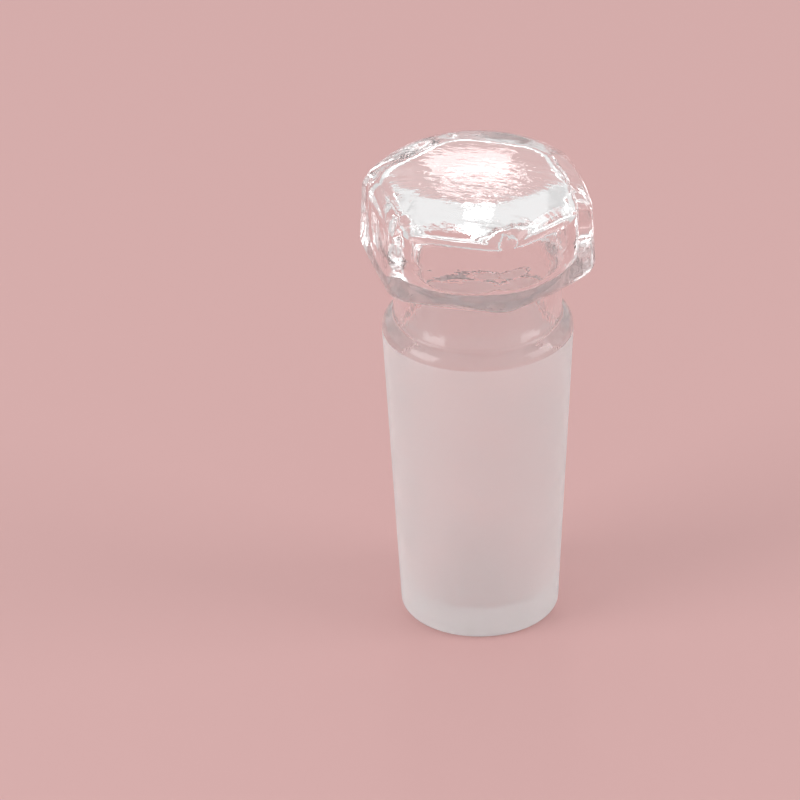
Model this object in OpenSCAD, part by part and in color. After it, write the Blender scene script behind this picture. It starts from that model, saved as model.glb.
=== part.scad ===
// Hollow glass stopper with a hexagonal head, for a 24/40 conical ground joint.
// One piece of borosilicate glass: a ground cone, a fire-polished shoulder and neck, and a
// head blown into a hexagonal mould. One sealed air space runs up from the cone into the head.
// The stopper stands on its small end, with the axis on Z and the base at Z = 0.

/* [Ground cone] */
// Diameter at the large end of the ground cone
cone_large_d = 24; // [20:0.5:24.5]
// Length of the ground cone, from the small end to the ground line
cone_length = 40; // [30:1:50]
// Length over which the diameter changes by 1 (10 is the standard 1 in 10 joint taper)
taper_run = 10; // [8:1:20]
// Radius of the ground edge around the base
base_edge_r = 0.75; // [0.2:0.05:1.5]

/* [Shoulder and neck] */
// Radius of the fire-polished shoulder above the ground line
shoulder_r = 2.1; // [1.5:0.1:3]
// Step in from the large end of the cone to the neck
neck_inset = 1.45; // [1:0.05:2]
// Height of the neck, from the ground line to the underside of the head
neck_height = 8.4; // [7.2:0.1:14]
// Radius of the hollow blend where the neck meets the shoulder
neck_blend_r = 0.6; // [0.2:0.1:1.5]

/* [Head] */
// Width of the hexagonal head across its flats
head_across_flats = 26.7; // [26:0.1:30]
// Thickness of the head, from its underside to the middle of its top
head_height = 14.4; // [13:0.1:18]
// Radius of the six upright edges
upright_edge_r = 1.1; // [0.5:0.1:3]
// Radius of the six lower edges
lower_edge_r = 2.4; // [0.5:0.1:3.5]
// Inward lean of the side faces towards the top, in degrees
side_draft = 2; // [0.5:0.25:4]
// Radius by which the lower corners are turned away
corner_turn_r = 5.5; // [4.25:0.25:5.75]
// Distance in from the flats at which the lower corners start to turn away
corner_turn_start = 1.8; // [0.5:0.1:2.5]

/* [Top of the head] */
// Radius of the very flat dome in the middle of the top
dome_r = 80; // [50:5:200]
// Radius of the ball form that takes the top down to its six corners
ball_r = 22.4; // [21.5:0.1:24]
// Height of the ball form above the middle of the top, had the dome not flattened it
ball_rise = 1.85; // [1:0.05:2.5]
// Radius of the turn from the flat dome into the ball form
dome_turn_r = 6; // [2:0.5:8]

/* [Air space] */
// Thickness of the wall of the ground cone
wall = 2; // [1.8:0.1:3]
// Thickness of the closed bottom
floor_thickness = 3.3; // [2:0.1:6]
// Radius of the corner inside, between the bottom and the wall
floor_corner_r = 1.5; // [0.5:0.1:3]
// Distance below the ground line at which the air space starts to narrow
closing_start = 3; // [1:0.5:5]
// Thickness of the neck around the throat, the narrowest part of the air space
throat_wall = 2.15; // [1.9:0.05:3]
// Height of the lower end of the throat above the ground line
throat_rise = 5.3; // [4:0.1:6.5]
// Distance below the underside of the head at which the air space starts to flare
flare_start = 1.6; // [0.5:0.1:2.5]
// Height over which the air space flares out from the throat into the head
flare_height = 6.2; // [4:0.1:7]
// Width of the air space in the head, across its flats
air_across_flats = 20.4; // [20.4:0.1:21.4]
// Width of the air space in the head across its corners, which are cut off round
air_across_corners = 22.1; // [21.6:0.1:23.4]
// Radius of its six upper edges
air_edge_r = 1.2; // [0.5:0.1:2]
// Radius by which its upper corners are turned away
air_turn_r = 2; // [1:0.1:3]
// Thickness of the top of the head above the air space
top_thickness = 5.2; // [3.5:0.1:5.5]

/* [Hidden] */
clear_glass = "azure";
$fn = 96;
overlap = 0.5;  // how far forms run into or past each other
far = 80;       // wider and taller than the stopper

// cone: radius at any height
cone_large_r = cone_large_d / 2;
function cone_r(z) = cone_large_r - (cone_length - z) / taper_run / 2;

// shoulder and neck
neck_r = cone_large_r - neck_inset;
shoulder_x = cone_large_r - shoulder_r;
blend_x = neck_r + neck_blend_r;
blend_z = cone_length
    + sqrt(pow(shoulder_r + neck_blend_r, 2) - pow(blend_x - shoulder_x, 2));

// head
head_z = cone_length + neck_height;
top_z = head_z + head_height;
head_flat_r = head_across_flats / 2;
lower_z = head_z + lower_edge_r;
function side_x(z) = head_flat_r - (z - lower_z) * tan(side_draft);
turn_x = head_flat_r - corner_turn_start;

// top of the head: the turn touches the dome inside and the ball outside
dome_z = top_z - dome_r;
ball_z = top_z + ball_rise - ball_r;
turn_z = (pow(dome_r - dome_turn_r, 2) - pow(ball_r - dome_turn_r, 2)
          + pow(ball_z, 2) - pow(dome_z, 2)) / (ball_z - dome_z) / 2;
dome_turn_x = sqrt(pow(ball_r - dome_turn_r, 2) - pow(turn_z - ball_z, 2));
dome_touch_x = dome_turn_x * dome_r / (dome_r - dome_turn_r);
ball_touch_z = ball_z + (turn_z - ball_z) * ball_r / (ball_r - dome_turn_r);

// air space: it narrows to the throat and flares into the head in double curves
floor_r = cone_r(floor_thickness) - wall;
close_z = cone_length - closing_start;
close_x = cone_r(close_z) - wall;
throat_r = neck_r - throat_wall;
throat_z = cone_length + throat_rise;
flare_z = head_z - flare_start;
open_z = flare_z + flare_height;
air_flat_r = air_across_flats / 2;
open_x = air_across_corners / 2;
air_top = top_z - top_thickness;
function double_curve_r(run, rise) = (run * run + rise * rise) / run / 4;
closing_r = double_curve_r(close_x - throat_r, throat_z - close_z);
flare_r = double_curve_r(open_x - throat_r, flare_height);

module at(x, y) { translate([x, y]) children(); }

// Half section of the cone, with its rounded base edge
module cone_section() {
    tip = cone_r(base_edge_r);
    difference() {
        polygon([[0, 0], [cone_r(0), 0], [cone_large_r, cone_length], [0, cone_length]]);
        difference() {
            at(tip - base_edge_r, -overlap) square(base_edge_r + overlap);
            at(tip - base_edge_r, base_edge_r) circle(r = base_edge_r);
        }
    }
}

// Half section of the rounded shoulder and the neck
module neck_section() {
    at(0, cone_length) square([shoulder_x, shoulder_r]);
    intersection() {
        at(shoulder_x, cone_length) circle(r = shoulder_r);
        at(0, cone_length) square([far, far]);
    }
    at(0, cone_length) square([neck_r, neck_height + overlap]);
    touch = shoulder_r / (shoulder_r + neck_blend_r);
    difference() {
        polygon([[neck_r - overlap, cone_length], [shoulder_x, cone_length],
                 [shoulder_x + (blend_x - shoulder_x) * touch,
                  cone_length + (blend_z - cone_length) * touch],
                 [blend_x, blend_z], [neck_r - overlap, blend_z]]);
        at(blend_x, blend_z) circle(r = neck_blend_r);
    }
}

// Half section under a double curve between two upright lines: it bulges at its wide end and
// is hollow at its narrow end
module double_curve(wide, narrow, curve_r) {
    middle = (wide + narrow) / 2;
    difference() {
        polygon([[0, wide.y], wide, middle, narrow, [0, narrow.y]]);
        at(narrow.x + curve_r, narrow.y) circle(r = curve_r);
    }
    intersection() {
        at(wide.x - curve_r, wide.y) circle(r = curve_r);
        at(0, min(wide.y, middle.y)) square([far, abs(wide.y - middle.y)]);
    }
}

// Half section of the sealed air space
module air_section() {
    difference() {
        polygon([[0, floor_thickness], [floor_r, floor_thickness], [close_x, close_z],
                 [0, close_z]]);
        difference() {
            at(floor_r - floor_corner_r, floor_thickness - overlap)
                square(floor_corner_r + overlap);
            at(floor_r - floor_corner_r, floor_thickness + floor_corner_r)
                circle(r = floor_corner_r);
        }
    }
    double_curve([close_x, close_z], [throat_r, throat_z], closing_r);
    at(0, throat_z) square([throat_r, flare_z - throat_z]);
    double_curve([open_x, open_z], [throat_r, flare_z], flare_r);
    at(0, open_z) square([open_x, air_top - air_turn_r - open_z]);
    at(0, open_z) square([open_x - air_turn_r, air_top - open_z]);
    at(open_x - air_turn_r, air_top - air_turn_r) circle(r = air_turn_r);
}

// Full section of the air space in the head across one pair of its flats
module air_flats_section() {
    upper = [air_flat_r - air_edge_r, air_top - air_edge_r];
    at(-air_flat_r, 0) square([air_across_flats, upper.y]);
    at(-upper.x, 0) square([2 * upper.x, air_top]);
    for (side = [-1, 1]) at(side * upper.x, upper.y) circle(r = air_edge_r);
}

// Rounded hexagon: the six upright edges of the head
module head_outline() {
    reach = (head_flat_r - upright_edge_r) / cos(30);
    for (k = [0:5]) rotate(60 * k) at(reach, 0) circle(r = upright_edge_r);
    polygon([for (k = [0:5]) for (side = [-30, 30])
        let (middle = reach * [cos(60 * k), sin(60 * k)],
             out = upright_edge_r * [cos(60 * k + side), sin(60 * k + side)])
        middle + out]);
}

// Full section of the head across one pair of flats, with its rounded lower edges
module flats_section() {
    lower = [side_x(lower_z) - lower_edge_r / cos(side_draft), lower_z];
    half = [[lower.x, head_z], lower + lower_edge_r * [cos(side_draft), sin(side_draft)],
            [side_x(top_z + overlap), top_z + overlap]];
    polygon(concat(half, [for (i = [2:-1:0]) [-half[i].x, half[i].y]]));
    for (side = [-1, 1]) at(side * lower.x, lower.y) circle(r = lower_edge_r);
}

// What three bars of one section have in common when they cross at 60 degrees
module across_three_flats() {
    intersection_for (turn = [30, 90, 150]) rotate(turn) rotate([90, 0, 0])
        linear_extrude(height = far, center = true) children();
}

// Half section of the round form inside which the head stays: it turns the lower corners
// away, and its top is the ball form with the flat dome on it
module round_section() {
    intersection() {
        union() {
            at(0, head_z) square([turn_x, far]);
            at(0, head_z + corner_turn_r) square([far, far]);
            at(turn_x, head_z + corner_turn_r) circle(r = corner_turn_r);
        }
        union() {
            intersection() {
                at(0, ball_z) circle(r = ball_r);
                at(0, ball_z) square([far, ball_touch_z - ball_z]);
            }
            intersection() {
                at(dome_turn_x, turn_z) circle(r = dome_turn_r);
                at(0, turn_z) square([far, far]);
            }
            intersection() {
                at(0, dome_z) circle(r = dome_r);
                at(0, turn_z) square([dome_touch_x, far]);
            }
        }
    }
}

module head() {
    intersection() {
        across_three_flats() flats_section();
        linear_extrude(height = far) head_outline();
        rotate_extrude() round_section();
    }
}

module air_space() {
    intersection() {
        across_three_flats() air_flats_section();
        rotate_extrude() air_section();
    }
}

module stopper() {
    color(clear_glass) difference() {
        union() {
            rotate_extrude() { cone_section(); neck_section(); }
            head();
        }
        air_space();
    }
}

stopper();
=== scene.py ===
import math
import bpy
from mathutils import Matrix, Vector


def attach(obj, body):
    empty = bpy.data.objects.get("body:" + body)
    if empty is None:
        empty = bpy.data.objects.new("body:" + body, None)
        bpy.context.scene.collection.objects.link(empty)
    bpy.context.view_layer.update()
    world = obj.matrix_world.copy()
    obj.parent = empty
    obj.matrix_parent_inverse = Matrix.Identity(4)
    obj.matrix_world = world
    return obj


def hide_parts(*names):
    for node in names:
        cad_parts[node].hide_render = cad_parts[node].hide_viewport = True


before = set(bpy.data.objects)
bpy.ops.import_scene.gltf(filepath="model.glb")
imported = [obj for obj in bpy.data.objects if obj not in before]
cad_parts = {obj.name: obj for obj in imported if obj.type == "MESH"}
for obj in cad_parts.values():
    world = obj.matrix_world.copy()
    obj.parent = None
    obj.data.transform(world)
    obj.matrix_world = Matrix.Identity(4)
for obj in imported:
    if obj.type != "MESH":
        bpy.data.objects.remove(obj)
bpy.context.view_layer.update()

mm = 0.001


# ---------------------------------------------------------------------------------------
# Ground cone, shoulder and neck: the lower part is drawn from borosilicate tube. Its cone
# is ground to the 1 in 10 taper of a 24/40 joint, and the shoulder and neck above the
# ground line are left fire-polished.
# ---------------------------------------------------------------------------------------
cone_large_r = 12 * mm
cone_length = 40 * mm
cone_taper = 1 / 20                # radius lost for each unit of length
base_edge_r = 0.75 * mm
base_ring_r = 4 * mm               # an extra ring on the flat of the base
pole_r = 0.3 * mm                  # radius of the small end face left round the axis
shoulder_r = 2.1 * mm
neck_r = 10.55 * mm
neck_blend_r = 0.6 * mm
head_foot_z = 48.4 * mm
bridge_gap = 0.25 * mm             # the neck stops this far below the head
corner_steps = 8                   # short edges round each corner of the head
flat_cuts = 15                     # cuts along each flat of the head
around = 6 * (corner_steps + 1 + flat_cuts)


def arc(cx, cz, r, start, end, steps):
    """Points of a half section along an arc, its angles in degrees from the +X direction."""
    turns = [math.radians(start + (end - start) * i / steps) for i in range(steps + 1)]
    return [(cx + r * math.cos(t), cz + r * math.sin(t)) for t in turns]


def line(a, b, steps):
    """Points of a half section along a straight line, without its first point."""
    return [(a[0] + (b[0] - a[0]) * i / steps, a[1] + (b[1] - a[1]) * i / steps)
            for i in range(1, steps + 1)]


def cone_r(z):
    """Outer radius of the ground cone at a height."""
    return cone_large_r - (cone_length - z) * cone_taper


def draw_out(section):
    """Extrudes the selected end face along a half section, as glass is drawn on a lathe."""
    for (r0, z0), (r1, z1) in zip(section, section[1:]):
        bpy.ops.mesh.extrude_region_move(TRANSFORM_OT_translate={"value": (0, 0, z1 - z0)})
        bpy.ops.transform.resize(value=(r1 / r0, r1 / r0, 1), center_override=(0, 0, z1))


def named(name):
    """Names the object that was made or joined last."""
    piece = bpy.context.object
    piece.name = name
    return piece


shoulder_x = cone_large_r - shoulder_r
blend_x = neck_r + neck_blend_r
blend_rise = math.sqrt((shoulder_r + neck_blend_r) ** 2 - (blend_x - shoulder_x) ** 2)
blend_z = cone_length + blend_rise
shoulder_turn = math.degrees(math.atan2(blend_rise, blend_x - shoulder_x))
tip_r = cone_r(base_edge_r)
body_section = [(pole_r, 0), (base_ring_r, 0)]
body_section += arc(tip_r - base_edge_r, base_edge_r, base_edge_r, -90, 0, steps=6)
body_section += line(body_section[-1], (cone_large_r, cone_length), steps=20)
body_section += arc(shoulder_x, cone_length, shoulder_r, 0, shoulder_turn, steps=10)[1:]
body_section += arc(blend_x, blend_z, neck_blend_r, 180 + shoulder_turn, 180, steps=4)[1:]
body_section += line(body_section[-1], (neck_r, head_foot_z - bridge_gap), steps=5)

bpy.ops.object.select_all(action="DESELECT")
bpy.ops.mesh.primitive_circle_add(vertices=around, radius=pole_r, fill_type="NGON")
body = named("body")
bpy.ops.object.mode_set(mode="EDIT")
bpy.ops.mesh.select_all(action="SELECT")
draw_out(body_section)
bpy.ops.mesh.delete(type="ONLY_FACE")
bpy.ops.object.mode_set(mode="OBJECT")


# ---------------------------------------------------------------------------------------
# Head: blown into a hexagonal mould, so its sides are flat and lean in a little, and its top
# is a nearly flat dome that a ball form takes down to the six corners. Its edges are soft,
# because glass doesn't fill the sharp edges of a mould.
# ---------------------------------------------------------------------------------------
head_flat_r = 13.35 * mm
head_top_z = 62.8 * mm
upright_edge_r = 2.2 * mm
upper_edge_r = 1.0 * mm
lower_edge_r = 2.4 * mm
lower_edge_start = -80             # degrees; the underside drops a little towards the neck
side_draft = 2                     # degrees
side_end_z = 60 * mm               # the lean of the sides is counted up to here
dome_r = 80 * mm
ball_r = 22.4 * mm
ball_rise = 1.85 * mm              # the ball form would stand this much above the dome
dome_turn_r = 6 * mm               # turn from the dome into the ball form
corner_lift = 0.35 * mm            # the lower corners lie this much higher
lift_end_z = head_foot_z + 3 * lower_edge_r
flat_min = 3 * mm                  # a longer edge of the outline is a flat, not a corner
flats_to_corners = math.cos(math.pi / 6)
upper_edge_steps = 8
top_rings = 36

lower_z = head_foot_z + lower_edge_r
dome_z = head_top_z - dome_r
ball_z = head_top_z + ball_rise - ball_r
turn_z = ((dome_r - dome_turn_r) ** 2 - (ball_r - dome_turn_r) ** 2
          + ball_z ** 2 - dome_z ** 2) / (ball_z - dome_z) / 2
turn_x = math.sqrt((ball_r - dome_turn_r) ** 2 - (turn_z - ball_z) ** 2)
dome_end = turn_x * dome_r / (dome_r - dome_turn_r)
ball_start = turn_x * ball_r / (ball_r - dome_turn_r)


def top_height(r):
    """Height of the top at a distance from the axis: dome, turn, then ball form."""
    if r < dome_end:
        return dome_z + math.sqrt(dome_r ** 2 - r ** 2)
    if r < ball_start:
        return turn_z + math.sqrt(dome_turn_r ** 2 - (r - turn_x) ** 2)
    return ball_z + math.sqrt(ball_r ** 2 - r ** 2)


# Half section across the flats
side_end = head_flat_r - (side_end_z - lower_z) * math.tan(math.radians(side_draft))
side_top = top_height(side_end) - upper_edge_r
head_section = arc(head_flat_r - lower_edge_r, lower_z, lower_edge_r,
                   lower_edge_start, -side_draft, steps=10)
head_section += line(head_section[-1], (side_end, side_top), steps=14)
for step in range(1, upper_edge_steps + 1):
    turn = math.radians(90 * step / upper_edge_steps)
    x = side_end - upper_edge_r * (1 - math.cos(turn))
    head_section.append((x, top_height(x) - upper_edge_r * (1 - math.sin(turn))))
top_start = head_section[-1][0]
for ring in range(top_rings - 1, 0, -1):
    x = top_start * ring / top_rings
    head_section.append((x, top_height(x)))

# A hexagon with rounded corners and divided flats is drawn out along it
start_r, start_z = head_section[0]
bpy.ops.object.select_all(action="DESELECT")
bpy.ops.mesh.primitive_circle_add(vertices=6, radius=start_r / flats_to_corners,
                                  fill_type="NGON", location=(0, 0, start_z),
                                  rotation=(0, 0, math.pi / 6))
head = named("head")
bpy.ops.object.transform_apply(location=True, rotation=True)
bpy.ops.object.mode_set(mode="EDIT")
bpy.ops.mesh.select_all(action="SELECT")
bpy.ops.mesh.bevel(offset=upright_edge_r * math.tan(math.pi / 6) * start_r / head_flat_r,
                   segments=corner_steps, profile=0.5, affect="VERTICES")
bpy.context.tool_settings.mesh_select_mode = (False, True, False)
bpy.ops.mesh.select_all(action="DESELECT")
bpy.ops.object.mode_set(mode="OBJECT")
for edge in head.data.edges:
    a, b = (head.data.vertices[i].co for i in edge.vertices)
    edge.select = (a - b).length > flat_min
bpy.ops.object.mode_set(mode="EDIT")
bpy.ops.mesh.subdivide(number_cuts=flat_cuts)
bpy.context.tool_settings.mesh_select_mode = (True, False, False)
bpy.ops.mesh.select_all(action="SELECT")
draw_out(head_section)
bpy.ops.mesh.poke()
bpy.ops.object.mode_set(mode="OBJECT")


def across_flats(place):
    """Distance of a place from the axis, measured square to the flat that it faces."""
    turns = [math.radians(30 + 60 * k) for k in range(6)]
    return max(place.x * math.cos(t) + place.y * math.sin(t) for t in turns)


# The rings are level so far. Towards the corners the top falls away and the underside rises.
for vertex in head.data.vertices:
    flat = across_flats(vertex.co)
    r = math.hypot(vertex.co.x, vertex.co.y)
    height = vertex.co.z
    top_share = min(max((height - lower_z) / (side_top - lower_z), 0), 1)
    vertex.co.z -= (top_height(flat) - top_height(r)) * top_share
    foot_share = max(1 - (height - head_foot_z) / (lift_end_z - head_foot_z), 0)
    corner_share = max((r / flat - 1) / (1 / flats_to_corners - 1), 0) if flat else 0
    vertex.co.z += corner_lift * corner_share * foot_share

# The end face at the foot of the head is taken out, and its edge is bridged to the neck
bpy.ops.object.mode_set(mode="EDIT")
bpy.ops.mesh.select_all(action="DESELECT")
bpy.ops.object.mode_set(mode="OBJECT")
foot = next(face for face in head.data.polygons if len(face.vertices) > 4)
foot.select = True
bpy.ops.object.mode_set(mode="EDIT")
bpy.ops.mesh.delete(type="ONLY_FACE")
bpy.ops.object.mode_set(mode="OBJECT")
body.select_set(True)
bpy.context.view_layer.objects.active = body
head.select_set(True)
bpy.ops.object.join()
bpy.ops.object.mode_set(mode="EDIT")
bpy.ops.mesh.select_all(action="DESELECT")
bpy.ops.mesh.select_non_manifold(extend=False, use_wire=False, use_multi_face=False,
                                 use_non_contiguous=False, use_verts=False)
bpy.ops.mesh.bridge_edge_loops()
bpy.ops.object.mode_set(mode="OBJECT")


# ---------------------------------------------------------------------------------------
# Air space: one bubble from the closed bottom up into the head. It narrows to a throat in the
# neck and flares out into the head, where the mould has made it a soft hexagon too. The glass
# closes over it, so it is an inner wall of the same piece.
# ---------------------------------------------------------------------------------------
wall = 2 * mm
floor_thickness = 3.3 * mm
floor_corner_r = 1.5 * mm
closing_z = 37 * mm                # here it starts to narrow
throat_r = 8.4 * mm
throat_z = 45.3 * mm
flare_z = 46.8 * mm
open_z = 53 * mm                   # here the flare ends
air_flat_r = 10.2 * mm
air_corner_r = 4.5 * mm
air_edge_r = 1.2 * mm
air_top_z = 57.8 * mm
air_top_rings = 10
flare_blend = 1.2 * mm             # over this much the round flare turns into the flats
crease_angle = math.radians(50)    # the mesh is shaded smooth where it turns by less


def double_curve(start, end, steps):
    """Points of a half section along two equal arcs, upright at both ends."""
    (x0, z0), (x1, z1) = start, end
    rise, run = z1 - z0, x1 - x0
    curve_r = (run ** 2 + rise ** 2) / abs(run) / 4
    points = []
    for i in range(1, 2 * steps + 1):
        z = rise * i / (2 * steps)
        near = min(z, rise - z)
        aside = (curve_r - math.sqrt(curve_r ** 2 - near ** 2)) * math.copysign(1, run)
        points.append((x0 + aside if i <= steps else x1 - aside, z0 + z))
    return points


# Half section through the corners of the soft hexagon
floor_r = cone_r(floor_thickness) - wall
corner_place = (air_flat_r - air_corner_r) / flats_to_corners
air_corner_x = corner_place + air_corner_r
air_section = [(pole_r, floor_thickness)]
air_section += line(air_section[0], (floor_r - floor_corner_r, floor_thickness), steps=4)
air_section += arc(floor_r - floor_corner_r, floor_thickness + floor_corner_r,
                   floor_corner_r, -90, 0, steps=8)[1:]
air_section += line(air_section[-1], (cone_r(closing_z) - wall, closing_z), steps=14)
air_section += double_curve(air_section[-1], (throat_r, throat_z), steps=10)
air_section += line(air_section[-1], (throat_r, flare_z), steps=2)
air_section += double_curve(air_section[-1], (air_corner_x, open_z), steps=16)
air_section += line(air_section[-1], (air_corner_x, air_top_z - air_edge_r), steps=6)
air_section += arc(air_corner_x - air_edge_r, air_top_z - air_edge_r, air_edge_r,
                   0, 90, steps=10)[1:]
top_edge = air_section[-1][0]
for ring in range(air_top_rings - 1, 0, -1):
    air_section.append((top_edge * ring / air_top_rings, air_top_z))

bpy.ops.object.select_all(action="DESELECT")
bpy.ops.mesh.primitive_circle_add(vertices=around, radius=pole_r, fill_type="NGON",
                                  location=(0, 0, floor_thickness))
air = named("air")
bpy.ops.object.transform_apply(location=True)
bpy.ops.object.mode_set(mode="EDIT")
bpy.ops.mesh.select_all(action="SELECT")
draw_out(air_section)
bpy.ops.mesh.poke()
bpy.ops.mesh.select_all(action="SELECT")
bpy.ops.mesh.flip_normals()
bpy.ops.object.mode_set(mode="OBJECT")

corner_end = math.atan2(air_corner_r / 2, corner_place + air_corner_r * flats_to_corners)


def soft_hexagon(turn):
    """Distance from the axis to the side of the rounded hexagon at this turn."""
    from_corner = abs((turn + math.pi / 6) % (math.pi / 3) - math.pi / 6)
    if from_corner > corner_end:
        return air_flat_r / math.cos(math.pi / 6 - from_corner)
    aside = corner_place * math.sin(from_corner)
    return corner_place * math.cos(from_corner) + math.sqrt(air_corner_r ** 2 - aside ** 2)


# Above the flare each ring becomes the hexagon. Below, it stays round where it fits inside.
for vertex in air.data.vertices:
    r = math.hypot(vertex.co.x, vertex.co.y)
    side = soft_hexagon(math.atan2(vertex.co.y, vertex.co.x))
    if vertex.co.z > open_z:
        shrink = side / air_corner_x
    else:
        cut = max(flare_blend - abs(r - side), 0) ** 2 / flare_blend / 4
        shrink = (min(r, side) - cut) / r
    vertex.co.x *= shrink
    vertex.co.y *= shrink

bpy.ops.object.select_all(action="DESELECT")
air.select_set(True)
body.select_set(True)
bpy.context.view_layer.objects.active = body
bpy.ops.object.join()
stopper = named("hexagonal_stopper")
bpy.ops.object.shade_smooth_by_angle(angle=crease_angle)


# ---------------------------------------------------------------------------------------
# The two finishes of the glass: fire-polished borosilicate, and the same glass ground matt
# with fine grit on the cone and round its base.
# ---------------------------------------------------------------------------------------
stand_off = 0.01 * mm              # keeps the base clear of the surface under it


def linear(hex_colour):
    """sRGB hex to Blender's linear colour."""
    parts = [int(hex_colour[i:i + 2], 16) / 255 for i in (1, 3, 5)]
    return (*[c / 12.92 if c <= 0.04045 else ((c + 0.055) / 1.055) ** 2.4 for c in parts], 1)


def shader_inputs(material):
    return material.node_tree.nodes["Principled BSDF"].inputs


def finish(name, **inputs):
    """Makes a material and sets the values on its shader's own sockets."""
    material = bpy.data.materials.new(name)
    material.use_nodes = True
    for socket, value in inputs.items():
        shader_inputs(material)[socket.replace("_", " ")].default_value = value
    return material


def add_node(material, kind, inputs=None, links=None):
    """Adds a node with its input values and its links (input: output socket)."""
    node = material.node_tree.nodes.new(kind)
    for name, value in (inputs or {}).items():
        node.inputs[name].default_value = value
    for name, socket in (links or {}).items():
        material.node_tree.links.new(socket, node.inputs[name])
    return node


def noise(material, place, size, detail):
    """A noise pattern whose spots are about this size."""
    pattern = add_node(material, "ShaderNodeTexNoise", {"Scale": 1 / size, "Detail": detail},
                       {"Vector": place})
    return pattern.outputs["Fac"]


def bump(material, pattern, height):
    """Gives a material a relief of this height from a pattern."""
    relief = add_node(material, "ShaderNodeBump", {"Strength": 1.0, "Distance": height},
                      {"Height": pattern})
    material.node_tree.links.new(relief.outputs["Normal"], shader_inputs(material)["Normal"])


# Fire-polished glass gives hard, bright reflections that waver, because its skin set in faint
# waves. They are drawn out sideways.
clear = finish("fire_polished_borosilicate", Base_Color=linear("#FFFFFF"),
               Roughness=0.0, IOR=1.473, Transmission_Weight=1.0)
place = add_node(clear, "ShaderNodeTexCoord").outputs["Object"]
drawn_out = add_node(clear, "ShaderNodeMapping", {"Scale": (0.4, 1.0, 0.8)}, {"Vector": place})
ripple = noise(clear, drawn_out.outputs["Vector"], size=1.2 * mm, detail=3.0)
bump(clear, ripple, height=0.05 * mm)

# Ground glass gives an even, pale haze with no reflections in it. Its sheen is the light that
# the ground skin throws back, and its roughness varies in slow clouds. The scratches of the
# real grit are a few hundredths of a millimetre, and are drawn coarser.
ground = finish("ground_borosilicate", Base_Color=linear("#FFFFFF"), IOR=1.473,
                Transmission_Weight=1.0, Sheen_Weight=0.65, Sheen_Roughness=1.0)
place = add_node(ground, "ShaderNodeTexCoord").outputs["Object"]
grit = noise(ground, place, size=0.15 * mm, detail=4.0)
bump(ground, grit, height=0.003 * mm)
clouds = noise(ground, place, size=4 * mm, detail=3.0)
grain = add_node(ground, "ShaderNodeMapRange", {"From Min": 0.35, "From Max": 0.65,
                                                "To Min": 0.5, "To Max": 0.8},
                 {"Value": clouds})
ground.node_tree.links.new(grain.outputs["Result"], shader_inputs(ground)["Roughness"])

# The outside of the cone and the whole base are ground
stopper.data.materials.append(clear)
stopper.data.materials.append(ground)
for face in stopper.data.polygons:
    outside = math.hypot(face.center.x, face.center.y) > cone_r(face.center.z) - wall / 2
    on_base = face.center.z < floor_thickness / 2
    if on_base or (outside and face.center.z < cone_length):
        face.material_index = 1

# The stand-off fades out upwards, so that the top stays where it is
for vertex in stopper.data.vertices:
    vertex.co.z += stand_off * (1 - vertex.co.z / head_top_z)

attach(stopper, "root")
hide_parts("stopper")


# ---------------------------------------------------------------------------------------
# Floor, light and camera: a plain pale surface in a soft daylight studio. The lamp behind is
# placed where the flat top of the head mirrors it.
# ---------------------------------------------------------------------------------------
bpy.ops.object.select_all(action="DESELECT")
bpy.ops.mesh.primitive_plane_add(size=4)
floor = named("floor")
floor.data.materials.append(finish("matt_paper", Base_Color=linear("#DBAFAD"), Roughness=0.9))

world = bpy.data.worlds.new("studio")
bpy.context.scene.world = world
world.use_nodes = True
world.node_tree.nodes["Background"].inputs["Color"].default_value = linear("#FFFFFF")
world.node_tree.nodes["Background"].inputs["Strength"].default_value = 0.7

view_turn = math.radians(16)
lit_middle = Vector((0, 0, 30 * mm))


def seen_from_camera(x, y, z):
    """A place given across, away from and above the camera's own direction."""
    return Matrix.Rotation(view_turn, 3, "Z") @ Vector((x, y, z))


def softbox(name, place, size, power):
    """Adds a rectangular lamp that faces the middle of the stopper."""
    bpy.ops.object.light_add(type="AREA", location=place)
    lamp = named(name)
    lamp.data.shape = "RECTANGLE"
    lamp.data.size, lamp.data.size_y = size
    lamp.data.energy = power
    lamp.rotation_euler = (lit_middle - place).to_track_quat("-Z", "Y").to_euler()


# Places and sizes in metres, power in watts
softbox("left_softbox", seen_from_camera(-0.85, -0.35, 0.35), size=(0.6, 0.6), power=4.0)
softbox("right_softbox", seen_from_camera(0.8, -0.15, 0.3), size=(0.5, 0.5), power=2.2)
softbox("back_softbox", seen_from_camera(0.0, 1.2, 0.6), size=(1.4, 0.6), power=0.5)
softbox("back_lamp", seen_from_camera(0.0, 0.8, 0.47), size=(0.13, 0.16), power=0.25)

view_tilt = math.radians(29.7)
view_roll = math.radians(-0.86)
view_distance = 792 * mm
aim_point = seen_from_camera(-9.87 * mm, 0, 29.34 * mm)
ahead = seen_from_camera(0, math.cos(view_tilt), -math.sin(view_tilt))
facing = (Matrix.Rotation(view_turn, 3, "Z") @ Matrix.Rotation(math.pi / 2 - view_tilt, 3, "X")
          @ Matrix.Rotation(view_roll, 3, "Z"))
bpy.ops.object.camera_add(location=aim_point - ahead * view_distance, rotation=facing.to_euler())
camera = bpy.context.object
camera.data.sensor_width = 36
camera.data.lens = 283
camera.data.clip_end = 20
bpy.context.scene.camera = camera
bpy.context.scene.view_settings.view_transform = "Standard"
bpy.context.scene.cycles.max_bounces = 32
bpy.context.scene.cycles.transmission_bounces = 32
bpy.context.scene.cycles.glossy_bounces = 16
bpy.context.scene.cycles.diffuse_bounces = 8
